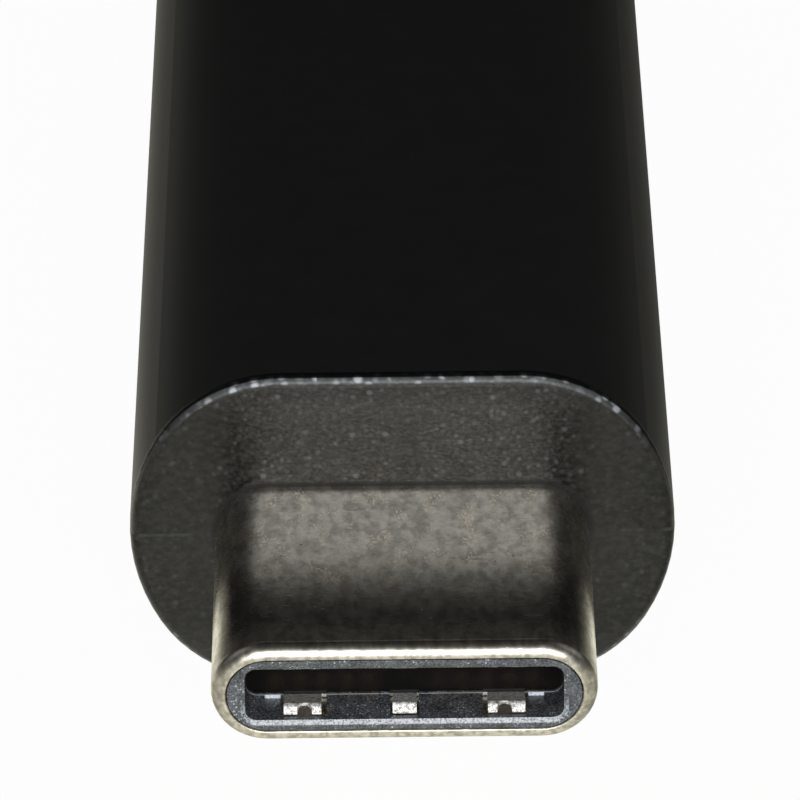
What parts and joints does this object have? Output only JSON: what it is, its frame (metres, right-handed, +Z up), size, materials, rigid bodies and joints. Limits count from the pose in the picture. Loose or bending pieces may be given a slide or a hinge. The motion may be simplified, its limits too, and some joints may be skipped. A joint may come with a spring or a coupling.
{
  "type": "usb-c cable plug",
  "caption": "Plug end of a usb-c cable: an open stadium-shaped metal mouth with sprung contacts and latches, on a black moulded housing with a cord outlet.",
  "frame": {"origin": "centre of the mouth's front plane, on the plug's axis", "axes": "+Y from the mouth towards the cord outlet, +Z up through the wide side, +X to the right when looking into the mouth"},
  "size_m": [0.012, 0.0351, 0.0078],
  "materials": {
    "housing_moulding": "satin",
    "plated_shell": "satin",
    "insulator_front": "satin",
    "insulator_rear": "matte",
    "latch_steel": "satin",
    "spring_steel": "polished",
    "contact_gold": "polished",
    "card_laminate": "satin",
    "chip_resin": "matte",
    "capacitor_ceramic": "satin",
    "resistor_ceramic": "gloss",
    "shield_tinplate": "satin",
    "mould_natural": "satin"
  },
  "bodies": {
    "root": {"capacitor_left": "capacitor_ceramic", "capacitor_right": "capacitor_ceramic", "contact_a1": "contact_gold", "contact_a10": "contact_gold", "contact_a11": "contact_gold", "contact_a12": "contact_gold", "contact_a2": "contact_gold", "contact_a3": "contact_gold", "contact_a4": "contact_gold", "contact_a5": "contact_gold", "contact_a6": "contact_gold", "contact_a7": "contact_gold", "contact_a8": "contact_gold", "contact_a9": "contact_gold", "contact_b1": "contact_gold", "contact_b10": "contact_gold", "contact_b11": "contact_gold", "contact_b12": "contact_gold", "contact_b2": "contact_gold", "contact_b3": "contact_gold", "contact_b4": "contact_gold", "contact_b5": "contact_gold", "contact_b8": "contact_gold", "contact_b9": "contact_gold", "front_insulator": "insulator_front", "housing": "housing_moulding", "inner_mould": "mould_natural", "latch_plate": "latch_steel", "lower_ground_spring": "spring_steel", "lower_insulator": "insulator_rear", "lower_shield": "shield_tinplate", "marker_chip": "chip_resin", "paddle_card": "card_laminate", "plug_shell": "plated_shell", "resistor_left": "resistor_ceramic", "resistor_right": "resistor_ceramic", "upper_ground_spring": "spring_steel", "upper_insulator": "insulator_rear", "upper_shield": "shield_tinplate"}
  },
  "joints": []
}
